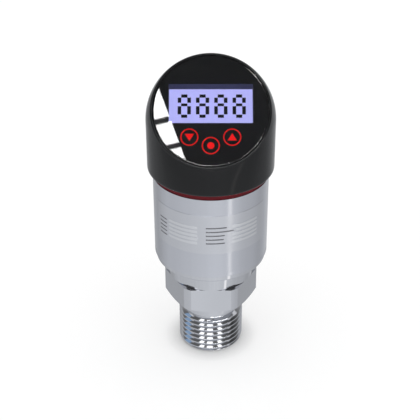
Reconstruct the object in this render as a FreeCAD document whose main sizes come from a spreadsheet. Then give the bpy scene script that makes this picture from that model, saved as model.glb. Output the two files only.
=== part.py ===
import FreeCAD, Part
import math
import os

import Sketcher

# A pressure transmitter with a turnable display head. It stands upright on the
# end of its G 1/2 thread: the origin is the centre of that end face, +Z is up
# and the display looks towards -Y. All sizes are in millimetres and degrees.

os.makedirs("parts", exist_ok=True)
doc = FreeCAD.newDocument("PressureTransmitter")
sheet = doc.addObject("Spreadsheet::Sheet", "Sizes")

values = {
    # process connection, from the thread's end upwards
    "thread_dia": 20.955,
    "thread_length": 12.6,
    "thread_lead": 0.9,
    "thread_runout": 0.9,
    "thread_pitch": 1.814,
    "thread_depth": 1.162,
    "thread_crest": 0.302,
    "relief_dia": 18.4,
    "relief_length": 2.7,
    "shoulder_dia": 23.0,
    "shoulder_length": 2.8,
    "hex_flats": 27.0,
    "hex_corners": 29.8,
    "hex_height": 8.5,
    "hex_chamfer": 0.8,
    "neck_dia": 27.0,
    "neck_length": 6.1,
    "flange_dia": 34.8,
    "flange_height": 2.0,
    "flange_edge": 0.4,
    "spigot_height": 3.0,
    "port_dia": 6.0,
    "port_chamfer": 0.6,
    # pressure cell and what holds it
    "chamber_floor": 5.4,
    "cell_dia": 19.0,
    "cell_height": 6.35,
    "cell_gap": 0.15,
    "ring_groove_dia": 14.4,
    "ring_groove_width": 2.4,
    "ring_groove_depth": 1.5,
    "clamp_height": 3.5,
    "clamp_bore": 13.0,
    "clamp_slot": 2.4,
    "lead_dia": 0.7,
    "lead_pitch": 2.54,
    # case sleeve
    "sleeve_dia": 35.8,
    "sleeve_wall": 1.4,
    "sleeve_height": 27.6,
    "sleeve_edge": 0.3,
    "sleeve_groove": 0.4,
    "sleeve_groove_depth": 0.3,
    "sleeve_foot": 0.9,
    # cradle and main board
    "cradle_base": 1.5,
    "cradle_hole": 13.0,
    "rail_width": 3.2,
    "rail_depth": 5.0,
    "rail_height": 18.0,
    "rail_slot": 1.2,
    "board_thickness": 1.6,
    "board_height": 20.0,
    "chip_side": 7.0,
    "chip_height": 1.2,
    "capacitor_dia": 4.0,
    "capacitor_height": 5.4,
    "header_width": 10.6,
    "header_height": 3.4,
    "header_depth": 2.6,
    # swivel between sleeve and head
    "collar_plate": 2.0,
    "skirt_height": 2.2,
    "skirt_wall": 1.5,
    "swivel_dia": 23.0,
    "swivel_bore": 16.0,
    "swivel_height": 6.5,
    "thrust_dia": 26.4,
    "thrust_gap": 0.1,
    "seal_width": 1.8,
    "seal_space": 0.6,
    "seal_gap": 0.15,
    "head_lift": 2.0,
    "neck_ring_section": 1.4,
    "clip_thickness": 1.0,
    "clip_width": 2.1,
    "clip_seat": 0.8,
    "clip_opening": 5.0,
    "clip_gap": 0.2,
    "stop_pin_dia": 1.4,
    "stop_land": 0.6,
    "stop_travel": 330.0,
    "stop_depth": 1.2,
    "flex_thickness": 0.3,
    "flex_width": 5.0,
    "flex_core": 3.0,
    "flex_step": 0.8,
    # display head moulding
    "head_dia": 39.0,
    "head_wall": 2.1,
    "head_floor": 2.5,
    "head_edge": 0.8,
    "dome_rise": 15.7,
    "face_tilt": 45.0,
    "face_offset": 8.2,
    "rim_slope": 55.0,
    "rim_edge": 0.4,
    "bevel_slope": 62.0,
    "ledge_opening": 32.2,
    "ledge_thickness": 1.5,
    # stack behind the face, from the window inwards
    "window_sink": 0.05,
    "window_dia": 34.1,
    "window_thickness": 1.2,
    "mask_thickness": 0.2,
    "frame_flange": 1.45,
    "frame_barrel": 1.5,
    "gasket_thickness": 0.4,
    "view_width": 24.8,
    "view_height": 12.05,
    "view_rise": 2.36,
    "view_depth": 4.45,
    "glass_margin": 0.3,
    "lcd_thickness": 1.5,
    "light_thickness": 1.8,
    "holder_wall": 0.4,
    "display_board_dia": 30.4,
    "display_board_cut": 12.5,
    "key_spread": 6.22,
    "key_drop": 7.95,
    "key_low": 10.5,
    "key_hole_dia": 4.8,
    "spring_dia": 4.0,
    "spring_wall": 0.4,
    "post_dia": 3.0,
    "post_spread": 11.6,
    "post_drop": 8.4,
    "post_rise": 13.2,
    "screw_dia": 1.3,
    "screw_head_dia": 2.8,
    "screw_head": 1.0,
    "screw_reach": 4.0,
    # rear plug connector
    "plug_rise": 9.0,
    "plug_thread_dia": 12.0,
    "plug_thread_length": 10.0,
    "plug_pitch": 1.0,
    "plug_depth": 0.5,
    "plug_crest": 0.25,
    "plug_grooves_from": 1.3,
    "plug_bore": 9.8,
    "plug_hex": 14.0,
    "plug_hex_height": 2.0,
    "panel_thread_dia": 10.5,
    "panel_tail": 0.4,
    "boss_dia": 15.8,
    "boss_proud": 0.9,
    "boss_depth": 4.8,
    "plug_seal": 1.0,
    "nut_height": 2.0,
    "nut_hex": 12.4,
    "insert_depth": 6.8,
    "pin_dia": 1.0,
    "pin_circle": 4.4,
    "pin_reach": 5.2,
    "pin_tail": 2.4,
    "wire_dia": 0.9,
    # clearances
    "slip_fit": 0.05,
    "easy_fit": 0.1,
}


class Size:
    # A length that knows both its number and the sheet expression behind it.
    def __init__(self, value, text):
        self.value = float(value)
        self.text = text

    def __add__(self, other):
        other = asSize(other)
        return Size(self.value + other.value, f"({self.text} + {other.text})")

    def __sub__(self, other):
        other = asSize(other)
        return Size(self.value - other.value, f"({self.text} - {other.text})")

    def __mul__(self, other):
        other = asSize(other)
        return Size(self.value * other.value, f"({self.text} * {other.text})")

    def __truediv__(self, other):
        other = asSize(other)
        return Size(self.value / other.value, f"({self.text} / {other.text})")

    def __rsub__(self, other):
        return asSize(other) - self

    def __rmul__(self, other):
        return asSize(other) * self

    def __neg__(self):
        return Size(-self.value, f"(0 - {self.text})")


def asSize(value):
    if isinstance(value, Size):
        return value
    return Size(value, repr(float(value)))


def sine(angle):
    return Size(math.sin(math.radians(angle.value)), f"sin({angle.text})")


def cosine(angle):
    return Size(math.cos(math.radians(angle.value)), f"cos({angle.text})")


class Sheet:
    pass


s = Sheet()
for row, (name, value) in enumerate(values.items(), start=1):
    sheet.set(f"A{row}", name)
    sheet.set(f"B{row}", str(value))
    sheet.setAlias(f"B{row}", name)
doc.recompute()
for name in values:
    setattr(s, name, Size(sheet.get(name), f"Sizes.{name}"))


def bind(item, prop, size):
    item.setExpression(prop, asSize(size).text)


def place(item, x=0, y=0, z=0, axis=None, angle=None):
    # Puts an object at a point, turned about one axis.
    if axis is not None:
        turn = FreeCAD.Rotation(axis, asSize(angle).value)
        item.Placement = FreeCAD.Placement(FreeCAD.Vector(0, 0, 0), turn)
        bind(item, ".Placement.Rotation.Angle", angle)
    for letter, size in (("x", x), ("y", y), ("z", z)):
        bind(item, f".Placement.Base.{letter}", size)
    return item


xAxis = FreeCAD.Vector(1, 0, 0)
yAxis = FreeCAD.Vector(0, 1, 0)
zAxis = FreeCAD.Vector(0, 0, 1)


def cylinder(name, radius, height, x=0, y=0, z=0, axis=None, angle=None):
    item = doc.addObject("Part::Cylinder", name)
    bind(item, "Radius", radius)
    bind(item, "Height", height)
    return place(item, x, y, z, axis, angle)


def box(name, length, width, height, x=0, y=0, z=0):
    # A box centred on x and y that rises from z.
    item = doc.addObject("Part::Box", name)
    bind(item, "Length", length)
    bind(item, "Width", width)
    bind(item, "Height", height)
    return place(item, asSize(x) - asSize(length) / 2, asSize(y) - asSize(width) / 2, z)


def cut(name, base, tool):
    item = doc.addObject("Part::Cut", name)
    item.Base = base
    item.Tool = tool
    return item


def common(name, base, tool):
    item = doc.addObject("Part::Common", name)
    item.Base = base
    item.Tool = tool
    return item


def fuse(name, pieces):
    item = doc.addObject("Part::MultiFuse", name)
    item.Shapes = pieces
    return item


def originPlane(body, role):
    for feature in body.Origin.OriginFeatures:
        if feature.Role == role:
            return feature


def pin(sketch, index, position, r, z):
    # Ties one profile point to the sketch's origin by its radius and height.
    for kind, size, line in (("DistanceX", r, -2), ("DistanceY", z, -1)):
        size = asSize(size)
        if abs(size.value) < 1e-9:
            sketch.addConstraint(Sketcher.Constraint("PointOnObject", index, position, line))
        elif size.value > 0:
            number = sketch.addConstraint(
                Sketcher.Constraint(kind, -1, 1, index, position, size.value))
            sketch.setExpression(f"Constraints[{number}]", size.text)
        else:
            number = sketch.addConstraint(
                Sketcher.Constraint(kind, index, position, -1, 1, -size.value))
            sketch.setExpression(f"Constraints[{number}]", (-size).text)


def newSketch(body, name, role):
    sketch = body.newObject("Sketcher::SketchObject", name)
    sketch.AttachmentSupport = (originPlane(body, role), [""])
    sketch.MapMode = "FlatFace"
    return sketch


def revolve(body, sketch, name):
    turn = body.newObject("PartDesign::Revolution", name)
    turn.Profile = sketch
    turn.ReferenceAxis = (sketch, ["V_Axis"])
    turn.Angle = 360.0
    body.Tip = turn
    return turn


def turned(name, points):
    # A turned body: the corners of its half section as (radius, height), in order.
    body = doc.addObject("PartDesign::Body", name)
    sketch = newSketch(body, name + "Section", "XZ_Plane")
    corners = [(asSize(r), asSize(z)) for r, z in points]
    count = len(corners)
    for index in range(count):
        start = FreeCAD.Vector(corners[index][0].value, corners[index][1].value, 0)
        nextCorner = corners[(index + 1) % count]
        end = FreeCAD.Vector(nextCorner[0].value, nextCorner[1].value, 0)
        sketch.addGeometry(Part.LineSegment(start, end), False)
    for index in range(count):
        link = Sketcher.Constraint("Coincident", index, 2, (index + 1) % count, 1)
        sketch.addConstraint(link)
    for index in range(count):
        pin(sketch, index, 1, corners[index][0], corners[index][1])
    revolve(body, sketch, name + "Turn")
    return body


def ring(name, bore, outer, low, high, edge=0):
    # A plain ring; edge bevels its four corners.
    if asSize(edge).value == 0:
        return turned(name, [(bore, low), (outer, low), (outer, high), (bore, high)])
    e = asSize(edge)
    return turned(name, [
        (bore + e, low), (outer - e, low), (outer, low + e), (outer, high - e),
        (outer - e, high), (bore + e, high), (bore, high - e), (bore, low + e)])


def dome(name, radius, low, centre):
    # A round column that ends in a half ball about the given height.
    body = doc.addObject("PartDesign::Body", name)
    sketch = newSketch(body, name + "Section", "XZ_Plane")
    foot = FreeCAD.Vector(0, low.value, 0)
    heel = FreeCAD.Vector(radius.value, low.value, 0)
    side = FreeCAD.Vector(radius.value, centre.value, 0)
    top = FreeCAD.Vector(0, centre.value + radius.value, 0)
    middle = FreeCAD.Vector(0, centre.value, 0)
    sketch.addGeometry(Part.LineSegment(foot, heel), False)
    sketch.addGeometry(Part.LineSegment(heel, side), False)
    circle = Part.Circle(middle, zAxis, radius.value)
    sketch.addGeometry(Part.ArcOfCircle(circle, 0, math.pi / 2), False)
    sketch.addGeometry(Part.LineSegment(top, foot), False)
    sketch.addConstraint(Sketcher.Constraint("Coincident", 0, 2, 1, 1))
    sketch.addConstraint(Sketcher.Constraint("Coincident", 1, 2, 2, 1))
    sketch.addConstraint(Sketcher.Constraint("Coincident", 2, 2, 3, 1))
    sketch.addConstraint(Sketcher.Constraint("Coincident", 3, 2, 0, 1))
    pin(sketch, 0, 1, 0, low)
    pin(sketch, 1, 1, radius, low)
    pin(sketch, 2, 3, 0, centre)
    sketch.addConstraint(Sketcher.Constraint("PointOnObject", 2, 2, -2))
    sketch.addConstraint(Sketcher.Constraint("Horizontal", 2, 1, 2, 3))
    sketch.addConstraint(Sketcher.Constraint("Vertical", 1))
    revolve(body, sketch, name + "Turn")
    return body


nodes = []


def node(item, name):
    item.Label = name
    nodes.append(item)
    return item


# Levels up the fixed half, from the thread's end.
threadTop = s.thread_length
reliefLow = threadTop + s.thread_runout
reliefTop = reliefLow + s.relief_length
hexLow = reliefTop + s.shoulder_length
hexTop = hexLow + s.hex_height
flangeLow = hexTop + s.neck_length
sleeveLow = flangeLow + s.flange_height
spigotTop = sleeveLow + s.spigot_height
sleeveTop = sleeveLow + s.sleeve_height
headLow = sleeveTop + s.head_lift
floorTop = headLow + s.head_floor
domeCentre = headLow + s.dome_rise
chamberLow = hexLow + s.chamber_floor
cellLow = chamberLow + s.cell_gap
cellTop = cellLow + s.cell_height
clampTop = cellTop + s.clamp_height
sleeveBore = s.sleeve_dia / 2 - s.sleeve_wall
chamberRadius = s.cell_dia / 2 + s.easy_fit

# Process connection: one turned bar with the port, the pressure chamber and the
# O-ring groove bored into it, and six flats milled over the hexagon's height.
grooveMid = s.ring_groove_dia / 2
grooveIn = grooveMid - s.ring_groove_width / 2
grooveOut = grooveMid + s.ring_groove_width / 2
threadRadius = s.thread_dia / 2


def threadRings(outside, depth, pitch, crest, start, count):
    # Rings of the thread's own profile, one a pitch: crest, flank, root, flank.
    flank = (pitch - crest * 2) / 2
    points = []
    for number in range(count):
        low = start + pitch * number + crest
        points += [(outside, low), (outside - depth, low + flank),
                   (outside - depth, low + flank + crest), (outside, low + flank * 2 + crest)]
    return points


blank = turned("ConnectionBlank", [
    (s.port_dia / 2 + s.port_chamfer, 0),
    (threadRadius - s.thread_lead, 0),
    (threadRadius, s.thread_lead),
    *threadRings(threadRadius, s.thread_depth, s.thread_pitch, s.thread_crest,
                 s.thread_lead, 6),
    (threadRadius, threadTop),
    (s.relief_dia / 2, reliefLow),
    (s.relief_dia / 2, reliefTop),
    (s.shoulder_dia / 2, reliefTop),
    (s.shoulder_dia / 2, hexLow),
    (s.hex_flats / 2, hexLow),
    (s.hex_corners / 2, hexLow + s.hex_chamfer),
    (s.hex_corners / 2, hexTop),
    (s.neck_dia / 2, hexTop),
    (s.neck_dia / 2, flangeLow),
    (s.flange_dia / 2 - s.flange_edge, flangeLow),
    (s.flange_dia / 2, flangeLow + s.flange_edge),
    (s.flange_dia / 2, sleeveLow),
    (sleeveBore - s.slip_fit, sleeveLow),
    (sleeveBore - s.slip_fit, spigotTop),
    (chamberRadius, spigotTop),
    (chamberRadius, chamberLow),
    (grooveOut, chamberLow),
    (grooveOut, chamberLow - s.ring_groove_depth),
    (grooveIn, chamberLow - s.ring_groove_depth),
    (grooveIn, chamberLow),
    (s.port_dia / 2, chamberLow),
    (s.port_dia / 2, s.port_chamfer),
])
hexPrism = doc.addObject("Part::Prism", "HexPrism")
hexPrism.Polygon = 6
bind(hexPrism, "Circumradius", s.hex_flats / (2 * math.cos(math.radians(30))))
bind(hexPrism, "Height", s.hex_height)
place(hexPrism, 0, 0, hexLow)
hexStock = cylinder("HexStock", s.hex_corners, s.hex_height, 0, 0, hexLow)
hexWaste = cut("HexWaste", hexStock, hexPrism)
node(cut("Connection", blank, hexWaste), "process_connection")

# Pressure cell on its O-ring, held down by a slotted clamp ring.
node(ring("CellRing", grooveIn + s.easy_fit, grooveOut - s.easy_fit,
          chamberLow - s.ring_groove_depth, cellLow, s.ring_groove_width / 6), "cell_o_ring")
node(cylinder("Cell", s.cell_dia / 2, s.cell_height, 0, 0, cellLow), "pressure_cell")
clampRing = ring("ClampRing", s.clamp_bore / 2, s.cell_dia / 2, cellTop, clampTop, s.slip_fit * 8)
clampSlot = box("ClampSlot", s.cell_dia * 1.2, s.clamp_slot, s.clamp_height / 2,
                0, 0, clampTop - s.clamp_height / 3)
node(cut("Clamp", clampRing, clampSlot), "cell_clamp_ring")

# Case sleeve: a steel tube pushed over the spigot, with a fine groove above its
# lower edge.
grooveLow = sleeveLow + s.sleeve_foot
grooveDeep = s.sleeve_dia / 2 - s.sleeve_groove_depth
node(turned("Sleeve", [
    (sleeveBore, sleeveLow),
    (s.sleeve_dia / 2 - s.sleeve_edge, sleeveLow),
    (s.sleeve_dia / 2, sleeveLow + s.sleeve_edge),
    (s.sleeve_dia / 2, grooveLow),
    (grooveDeep, grooveLow),
    (grooveDeep, grooveLow + s.sleeve_groove),
    (s.sleeve_dia / 2, grooveLow + s.sleeve_groove),
    (s.sleeve_dia / 2, sleeveTop - s.sleeve_edge),
    (s.sleeve_dia / 2 - s.sleeve_edge, sleeveTop),
    (sleeveBore, sleeveTop),
]), "case_sleeve")

# Cradle: a base on the spigot with two grooved rails that hold the main board.
baseTop = spigotTop + s.cradle_base
cradleRadius = sleeveBore - s.easy_fit * 2
railMid = (cradleRadius * cradleRadius - s.rail_depth * s.rail_depth / 4)
railOut = Size(math.sqrt(railMid.value), f"sqrt({railMid.text})") - s.easy_fit
railIn = railOut - s.rail_width
cradleBase = ring("CradleBase", s.cradle_hole / 2, cradleRadius, spigotTop, baseTop)
rails = [cradleBase]
slots = []
for side, sign in (("Left", -1), ("Right", 1)):
    middle = (railIn + railOut) / 2 * sign
    rails.append(box("Rail" + side, s.rail_width, s.rail_depth, s.rail_height, middle, 0, baseTop))
    slotMiddle = (railIn + s.rail_slot / 2 - s.easy_fit) * sign
    slots.append(box("Slot" + side, s.rail_slot + s.easy_fit * 2,
                     s.board_thickness + s.easy_fit * 2, s.rail_height + 1,
                     slotMiddle, 0, baseTop))
cradleSolid = fuse("CradleSolid", rails)
cradleSlots = fuse("CradleSlots", slots)
node(cut("Cradle", cradleSolid, cradleSlots), "board_cradle")

# Main board in the rails, with its amplifier, capacitors and two headers.
boardHalf = railIn + s.rail_slot - s.easy_fit
boardFront = -s.board_thickness / 2
boardBack = s.board_thickness / 2
node(box("MainBoard", boardHalf * 2, s.board_thickness, s.board_height, 0, 0, baseTop),
     "main_board")
node(box("Amplifier", s.chip_side, s.chip_height, s.chip_side, 0,
         boardBack + s.chip_height / 2, baseTop + s.board_height * 0.45), "amplifier_chip")
capacitors = []
for number, sign in enumerate((-1, 1)):
    capacitors.append(cylinder(f"Capacitor{number}", s.capacitor_dia / 2, s.capacitor_height,
                               s.chip_side * sign, boardFront,
                               baseTop + s.board_height * 0.5, xAxis, 90))
node(fuse("Capacitors", capacitors), "capacitors")
node(box("LeadHeader", s.header_width, s.header_depth, s.header_height, 0,
         boardFront - s.header_depth / 2, baseTop + s.header_height / 2), "lead_header")
headerTop = baseTop + s.board_height - s.header_height / 4
node(box("FlexHeader", s.header_width, s.header_depth, s.header_height, 0,
         boardFront - s.header_depth / 2, headerTop - s.header_height), "flex_header")
leads = []
for number in range(4):
    across = s.lead_pitch * (number - 1.5)
    leads.append(cylinder(f"Lead{number}", s.lead_dia / 2,
                          baseTop + s.header_height / 2 - cellTop,
                          across, boardFront - s.header_depth / 2, cellTop))
node(fuse("Leads", leads), "cell_leads")

# Swivel collar: a plug in the sleeve's top with a thrust step and a neck that
# the head turns on. Grooves in the neck take the O-ring and the clip.
plateLow = sleeveTop - s.collar_plate
skirtLow = plateLow - s.skirt_height
skirtRadius = sleeveBore - s.slip_fit
neckRadius = s.swivel_dia / 2
neckTop = sleeveTop + s.swivel_height
ringHalf = s.neck_ring_section / 2 + s.easy_fit
ringMid = (headLow + floorTop) / 2 + s.easy_fit
clipLow = floorTop + s.clip_gap
clipTop = clipLow + s.clip_thickness
node(turned("Collar", [
    (s.swivel_bore / 2, plateLow),
    (skirtRadius - s.skirt_wall, plateLow),
    (skirtRadius - s.skirt_wall, skirtLow),
    (skirtRadius, skirtLow),
    (skirtRadius, sleeveTop),
    (s.thrust_dia / 2, sleeveTop),
    (s.thrust_dia / 2, headLow - s.thrust_gap),
    (neckRadius, headLow - s.thrust_gap),
    (neckRadius, ringMid - ringHalf),
    (neckRadius - s.neck_ring_section, ringMid - ringHalf),
    (neckRadius - s.neck_ring_section, ringMid + ringHalf),
    (neckRadius, ringMid + ringHalf),
    (neckRadius, clipLow - s.slip_fit),
    (neckRadius - s.clip_seat, clipLow - s.slip_fit),
    (neckRadius - s.clip_seat, clipTop + s.slip_fit),
    (neckRadius, clipTop + s.slip_fit),
    (neckRadius, neckTop - s.sleeve_edge),
    (neckRadius - s.sleeve_edge, neckTop),
    (s.swivel_bore / 2, neckTop),
]), "swivel_collar")
node(ring("NeckRing", neckRadius - s.neck_ring_section, neckRadius,
          ringMid - s.neck_ring_section / 2, ringMid + s.neck_ring_section / 2,
          s.neck_ring_section / 4), "neck_o_ring")
stopRadius = s.thrust_dia / 2 + s.stop_land + s.stop_pin_dia / 2
sealBore = stopRadius + s.stop_pin_dia / 2 + s.easy_fit + s.seal_space
node(ring("Seal", sealBore, sealBore + s.seal_width, sleeveTop, headLow - s.seal_gap,
          s.seal_gap), "seal_ring")
clipRadius = neckRadius - s.clip_seat + s.clip_width
clipRing = ring("ClipRing", neckRadius - s.clip_seat, clipRadius, clipLow, clipTop)
clipGap = box("ClipGap", s.clip_opening, clipRadius * 2, s.clip_thickness * 2,
              0, clipRadius, clipLow - s.clip_thickness / 2)
node(cut("Clip", clipRing, clipGap), "retaining_clip")

# Stop pin: pressed into the collar's plate, it runs in a groove under the head.
# At rest it stands at the back, half way between the groove's two ends.
pinTop = headLow + s.stop_depth - s.easy_fit
node(cylinder("StopPin", s.stop_pin_dia / 2, pinTop - sleeveTop, 0, stopRadius, sleeveTop),
     "stop_pin")

# Flex cable: rolled in half turns of growing radius inside the neck, so that it
# winds and unwinds as the head turns. Its straight tail plugs into the header.
flexLow = headerTop + s.header_height / 2
flexParts = []
for number in range(5):
    radius = s.flex_core.value + s.flex_step.value * number
    shift = s.flex_step.value / 2 * (1 if number % 2 else -1)
    centre = FreeCAD.Vector(shift, 0, flexLow.value)
    start = 0 if number % 2 else 180
    inner = Part.makeCylinder(radius, s.flex_width.value, centre, zAxis, 180)
    outer = Part.makeCylinder(radius + s.flex_thickness.value, s.flex_width.value,
                              centre, zAxis, 180)
    half = outer.cut(inner)
    half.rotate(centre, zAxis, start)
    flexParts.append(half)
flexShape = flexParts[0].multiFuse(flexParts[1:])
tail = Part.makeBox(
    s.flex_width.value, s.flex_thickness.value, flexLow.value + s.flex_width.value / 2
    - headerTop.value,
    FreeCAD.Vector(-s.flex_width.value / 2,
                   -s.flex_core.value - s.flex_thickness.value, headerTop.value))
flex = doc.addObject("Part::Feature", "Flex")
flex.Shape = flexShape.fuse(tail)
node(flex, "flex_cable")

# The slanted face has a frame of its own: its origin is the centre of the rim's
# plane, its Z looks out of the face and its Y climbs the slope.
faceY = -(s.face_offset * sine(s.face_tilt))
faceZ = domeCentre + s.face_offset * cosine(s.face_tilt)


def onFace(item, x=0, up=0, out=0):
    y = faceY - asSize(out) * sine(s.face_tilt) + asSize(up) * cosine(s.face_tilt)
    z = faceZ + asSize(out) * cosine(s.face_tilt) + asSize(up) * sine(s.face_tilt)
    return place(item, x, y, z, xAxis, s.face_tilt)


# Levels behind the rim's plane, all negative.
windowTop = -s.window_sink
maskTop = windowTop - s.window_thickness
frameTop = maskTop - s.mask_thickness
gasketTop = frameTop - s.frame_flange
ledgeTop = gasketTop - s.gasket_thickness
ledgeLow = ledgeTop - s.ledge_thickness
barrelLow = gasketTop - s.frame_barrel
lcdTop = frameTop - s.view_depth
lightTop = lcdTop - s.lcd_thickness
boardTop = lightTop - s.light_thickness
boardLow = boardTop - s.board_thickness
windowRadius = s.window_dia / 2
openingRadius = s.ledge_opening / 2
reach = s.head_dia * 2

# Head moulding: a column with a ball end, cut by the slanted face. The cut is a
# wide cone, whose side also leans the front wall back to meet the round rim.
headRadius = s.head_dia / 2
cavityRadius = headRadius - s.head_wall
outerBody = dome("HeadOuter", headRadius, headLow, domeCentre)
doc.recompute()
footEdges = []
for number, edge in enumerate(outerBody.Shape.Edges, start=1):
    if all(abs(vertex.Z - headLow.value) < 1e-6 for vertex in edge.Vertexes):
        if isinstance(edge.Curve, Part.Circle):
            footEdges.append(f"Edge{number}")
column = outerBody.Tip
footRound = outerBody.newObject("PartDesign::Fillet", "HeadFoot")
footRound.Base = (column, footEdges)
bind(footRound, "Radius", s.head_edge)
outerBody.Tip = footRound
rimSquare = headRadius * headRadius - s.face_offset * s.face_offset
rimRadius = Size(math.sqrt(rimSquare.value), f"sqrt({rimSquare.text})")


def faceCone(name, radius, slope):
    # A cone that ends at the rim's plane and widens inwards by the given angle.
    item = doc.addObject("Part::Cone", name)
    bind(item, "Height", reach)
    bind(item, "Radius1", radius + reach * (sine(slope) / cosine(slope)))
    bind(item, "Radius2", radius)
    return onFace(item, 0, 0, -reach)


trim = faceCone("FaceTrim", rimRadius, s.rim_slope)
bevel = faceCone("RimBevel", rimRadius - s.rim_edge, s.bevel_slope)
headSolid = common("HeadSolid", common("HeadColumn", outerBody, trim), bevel)

cavityDome = dome("CavityDome", cavityRadius, floorTop, domeCentre)
cavityLimit = cylinder("CavityLimit", reach, reach)
onFace(cavityLimit, 0, 0, ledgeLow - reach)
cavity = common("Cavity", cavityDome, cavityLimit)
hollowHead = cut("HollowHead", headSolid, cavity)

# Rear boss, flat inside and out, for the plug connector.
plugZ = headLow + s.plug_rise
bossIn = headRadius + s.boss_proud - s.boss_depth
boss = cylinder("Boss", s.boss_dia / 2, s.boss_depth, 0, bossIn, plugZ, xAxis, -90)
bossedHead = fuse("BossedHead", [hollowHead, boss])

# Cuts in the moulding: window recess, ledge opening, swivel hole, stop groove
# and the hole through the boss.
recess = cylinder("Recess", windowRadius + s.slip_fit, 1 - ledgeTop)
onFace(recess, 0, 0, ledgeTop)
opening = cylinder("Opening", openingRadius, 1 - ledgeLow + s.easy_fit)
onFace(opening, 0, 0, ledgeLow - s.easy_fit)
swivelHole = cylinder("SwivelHole", neckRadius + s.slip_fit, s.head_floor + 2, 0, 0, headLow - 1)
pinShare = (s.stop_pin_dia / 2 + s.easy_fit) / stopRadius
pinAngle = Size(2 * math.degrees(math.asin(pinShare.value)), f"(2 * asin({pinShare.text}) / 1 deg)")
grooveAngle = s.stop_travel + pinAngle
grooveStart = asSize(270) + (asSize(360) - grooveAngle) / 2
grooveOuter = cylinder("GrooveOuter", stopRadius + s.stop_pin_dia / 2 + s.easy_fit,
                       s.stop_depth + 1, 0, 0, headLow - 1, zAxis, grooveStart)
bind(grooveOuter, "Angle", grooveAngle)
grooveInner = cylinder("GrooveInner", stopRadius - s.stop_pin_dia / 2 - s.easy_fit,
                       s.stop_depth + 3, 0, 0, headLow - 2)
stopGroove = cut("StopGroove", grooveOuter, grooveInner)
plugHole = cylinder("PlugHole", s.panel_thread_dia / 2 + s.easy_fit, s.boss_depth + 2,
                    0, bossIn - 1, plugZ, xAxis, -90)
headCuts = fuse("HeadCuts", [recess, opening, swivelHole, stopGroove, plugHole])
node(cut("Head", bossedHead, headCuts), "head_shell")

# Window, printed mask and gasket.
window = cylinder("Window", windowRadius, s.window_thickness)
node(onFace(window, 0, 0, maskTop), "face_window")
maskDisc = cylinder("MaskDisc", windowRadius, s.mask_thickness, 0, 0, frameTop)
maskView = box("MaskView", s.view_width, s.view_height, s.mask_thickness * 3,
               0, s.view_rise, frameTop - s.mask_thickness)
node(onFace(cut("Mask", maskDisc, maskView)), "face_mask")
gasket = ring("Gasket", openingRadius + s.slip_fit, windowRadius - s.slip_fit,
              ledgeTop, gasketTop)
node(onFace(gasket), "window_gasket")

# Display frame: a flange on the gasket, a barrel through the opening, a holder
# for the LCD with the view shaft above it, three spring holes and three posts.
glassWidth = s.view_width + s.glass_margin * 2
glassHeight = s.view_height + s.glass_margin * 2
holderWidth = glassWidth + (s.slip_fit + s.holder_wall) * 2
holderHeight = glassHeight + (s.slip_fit + s.holder_wall) * 2
keyPlaces = [(-s.key_spread, -s.key_drop), (asSize(0), -s.key_low), (s.key_spread, -s.key_drop)]
postPlaces = [(-s.post_spread, -s.post_drop), (s.post_spread, -s.post_drop),
              (asSize(0), s.post_rise)]
frameSolids = [
    cylinder("FrameFlange", windowRadius - s.slip_fit, s.frame_flange, 0, 0, gasketTop),
    cylinder("FrameBarrel", openingRadius - s.easy_fit, s.frame_barrel + s.frame_flange / 2,
             0, 0, barrelLow),
    box("FrameHolder", holderWidth, holderHeight, frameTop - boardTop - s.frame_flange / 2,
        0, s.view_rise, boardTop),
]
frameHoles = [
    box("FrameShaft", s.view_width, s.view_height, s.view_depth + 2, 0, s.view_rise, lcdTop - 1),
    box("FramePocket", glassWidth + s.slip_fit * 2, glassHeight + s.slip_fit * 2,
        lcdTop - boardTop + 1, 0, s.view_rise, boardTop - 1),
]
for number, (x, up) in enumerate(postPlaces):
    frameSolids.append(cylinder(f"Post{number}", s.post_dia / 2, barrelLow - boardTop + 0.5,
                                x, up, boardTop))
    frameHoles.append(cylinder(f"PostHole{number}", s.screw_dia / 2, s.screw_reach + 1,
                               x, up, boardTop - 1 + s.easy_fit))
for number, (x, up) in enumerate(keyPlaces):
    frameHoles.append(cylinder(f"KeyHole{number}", s.key_hole_dia / 2,
                               frameTop - barrelLow + 2, x, up, barrelLow - 1))
frameSolid = fuse("FrameSolid", frameSolids)
frameHole = fuse("FrameHole", frameHoles)
node(onFace(cut("Frame", frameSolid, frameHole)), "display_frame")



def faceBox(name, length, width, height, x, up, out):
    # A box on the face, centred on x and up, that rises from out.
    item = doc.addObject("Part::Box", name)
    bind(item, "Length", length)
    bind(item, "Width", width)
    bind(item, "Height", height)
    return onFace(item, asSize(x) - asSize(length) / 2, asSize(up) - asSize(width) / 2, out)


# LCD glass and the light panel behind it.
node(faceBox("Lcd", glassWidth, glassHeight, s.lcd_thickness, 0, s.view_rise, lightTop),
     "lcd_glass")
node(faceBox("Light", glassWidth, glassHeight, s.light_thickness, 0, s.view_rise, boardTop),
     "light_panel")

# Display board: a disc with its lower edge cut off above the swivel neck,
# screwed to the three posts. A touch spring stands behind each key.
boardRadius = s.display_board_dia / 2
boardDisc = cylinder("BoardDisc", boardRadius, s.board_thickness, 0, 0, boardLow)
boardCuts = [box("BoardCut", s.display_board_dia, s.display_board_dia, s.board_thickness * 3,
                 0, -s.display_board_cut - boardRadius, boardLow - s.board_thickness)]
screws = []
for number, (x, up) in enumerate(postPlaces):
    boardCuts.append(cylinder(f"BoardHole{number}", s.screw_dia / 2 + s.easy_fit,
                              s.board_thickness * 3, x, up, boardLow - s.board_thickness))
    shank = cylinder(f"Shank{number}", s.screw_dia / 2 - s.slip_fit,
                     s.screw_reach + s.board_thickness, x, up, boardLow)
    head = cylinder(f"ScrewHead{number}", s.screw_head_dia / 2, s.screw_head,
                    x, up, boardLow - s.screw_head)
    screws += [shank, head]
node(onFace(cut("DisplayBoard", boardDisc, fuse("BoardHoles", boardCuts))), "display_board")
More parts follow.
